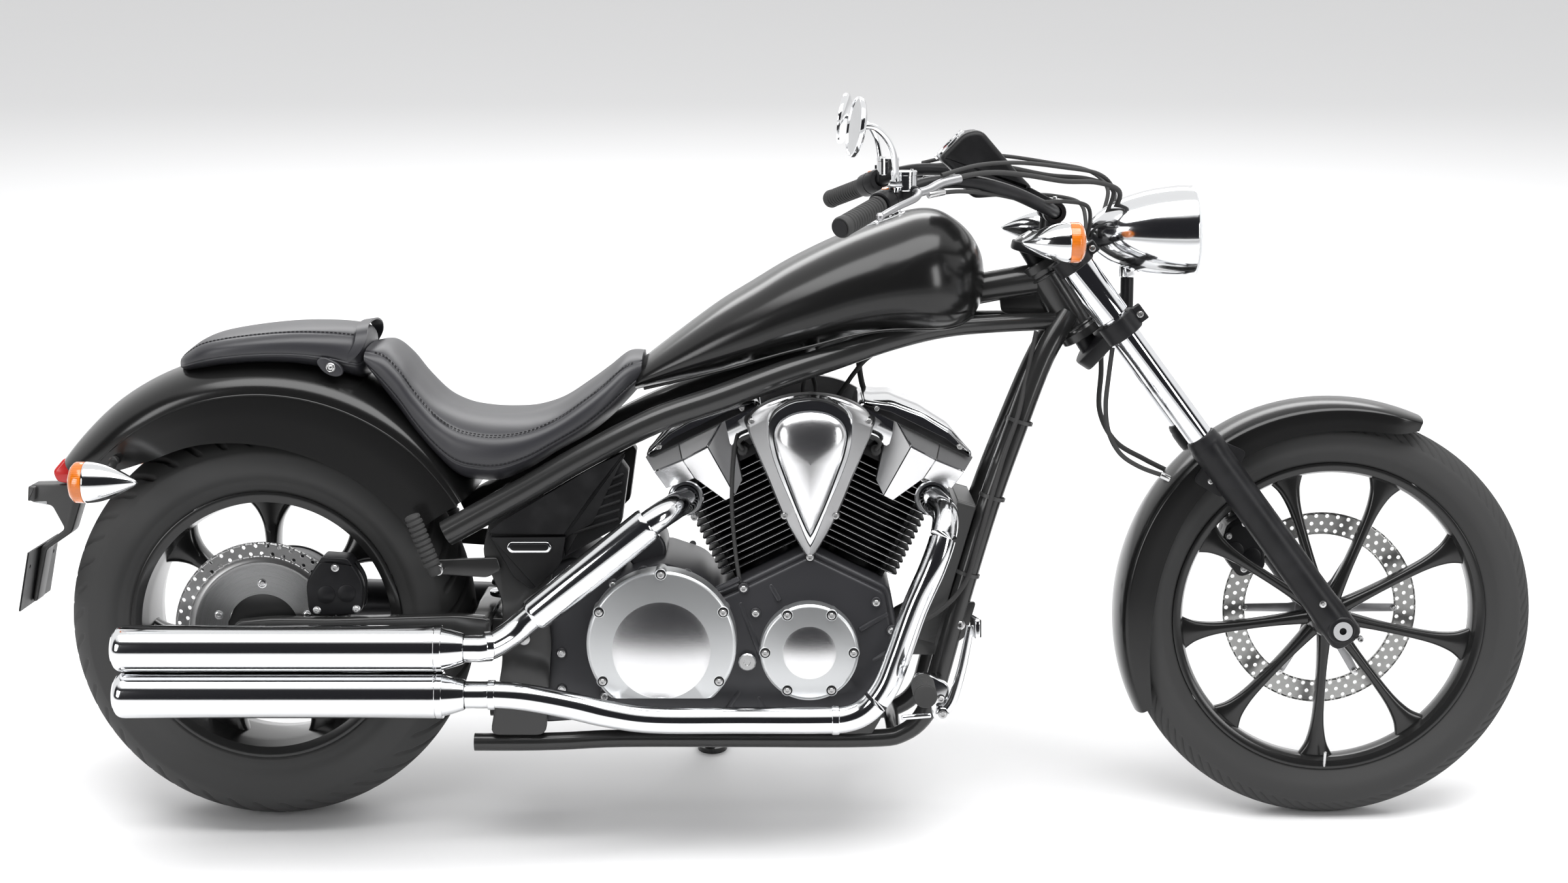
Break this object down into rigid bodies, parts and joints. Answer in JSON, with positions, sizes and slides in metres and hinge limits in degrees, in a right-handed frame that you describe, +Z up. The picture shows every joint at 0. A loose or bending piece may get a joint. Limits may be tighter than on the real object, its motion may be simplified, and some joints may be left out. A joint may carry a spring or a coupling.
{
  "type": "chopper motorcycle",
  "caption": "Long, low V-twin chopper with a raked fork, stretched tank, stepped seat and wide rear tyre, parked leaning on its side stand.",
  "frame": {"origin": "middle of the bounding box's bottom face, on the ground", "axes": "+X forward along the machine, +Y to the rider's left, +Z up; the machine leans 10 degrees to its left"},
  "size_m": [2.568, 0.9528, 1.2864],
  "materials": {
    "black_plastic": "satin",
    "body_black": "gloss",
    "chrome": "polished",
    "clear_lens": "clear",
    "disc_steel": "ground",
    "engine_black": "satin",
    "frame_black": "gloss",
    "red_lens": "gloss",
    "satin_metal": "brushed",
    "seat_leather": "satin",
    "soft_rubber": "matte",
    "tyre_rubber": "matte",
    "wheel_black": "gloss"
  },
  "bodies": {
    "chassis": {"upper_frame": "frame_black", "cradle": "frame_black", "crankcase": "engine_black", "cylinders": "engine_black", "head_covers": "chrome", "intake": "engine_black", "teardrop_covers": "chrome", "right_covers": "satin_metal", "left_covers": "satin_metal", "radiator": "black_plastic", "front_exhaust": "chrome", "rear_exhaust": "chrome", "silencers": "chrome", "fuel_tank": "body_black", "rider_seat": "seat_leather", "passenger_seat": "seat_leather", "rear_fender": "body_black", "side_covers": "body_black", "swingarm": "frame_black", "drive_housing": "engine_black", "shock_absorber": "satin_metal", "rear_axle_shaft": "satin_metal", "rear_caliper": "engine_black", "tail_light": "red_lens", "plate_bracket": "black_plastic", "plate_holder": "black_plastic", "rear_signals": "chrome", "right_foot_controls": "satin_metal", "left_foot_controls": "satin_metal", "passenger_pegs": "soft_rubber"},
    "rear_wheel": {"rear_wheel_rim": "wheel_black", "rear_tyre": "tyre_rubber", "rear_disc": "disc_steel"},
    "steering": {"fork_sliders": "frame_black", "fork_tubes": "chrome", "fork_yokes": "frame_black", "handlebar": "frame_black", "grips": "soft_rubber", "bar_controls": "black_plastic", "mirrors": "chrome", "instrument": "black_plastic", "headlight": "chrome", "headlight_lens": "clear_lens", "front_signals": "chrome", "front_fender": "body_black", "front_caliper": "engine_black", "brake_hose": "soft_rubber", "front_axle_shaft": "satin_metal"},
    "front_wheel": {"front_wheel_rim": "wheel_black", "front_tyre": "tyre_rubber", "front_disc": "disc_steel"},
    "side_stand": {"side_stand": "frame_black"}
  },
  "joints": [
    {"name": "rear_wheel_spin", "type": "hinge", "parent": "chassis", "child": "rear_wheel", "pos_m": [-0.86805, -0.12232, 0.34067], "axis": [0, 0.9848, -0.1736], "continuous": true},
    {"name": "steering_turn", "type": "hinge", "parent": "chassis", "child": "steering", "pos_m": [0.51056, -0.03849, 0.8161], "axis": [-0.5299, 0.1473, 0.8352], "range_deg": [-30, 30]},
    {"name": "front_wheel_spin", "type": "hinge", "parent": "steering", "child": "front_wheel", "pos_m": [0.93595, -0.12184, 0.3434], "axis": [0, 0.9848, -0.1736], "continuous": true},
    {"name": "side_stand_fold", "type": "hinge", "parent": "chassis", "child": "side_stand", "pos_m": [-0.17805, -0.0279, 0.12172], "axis": [0, 0.848, 0.5299], "range_deg": [0, 98]}
  ]
}
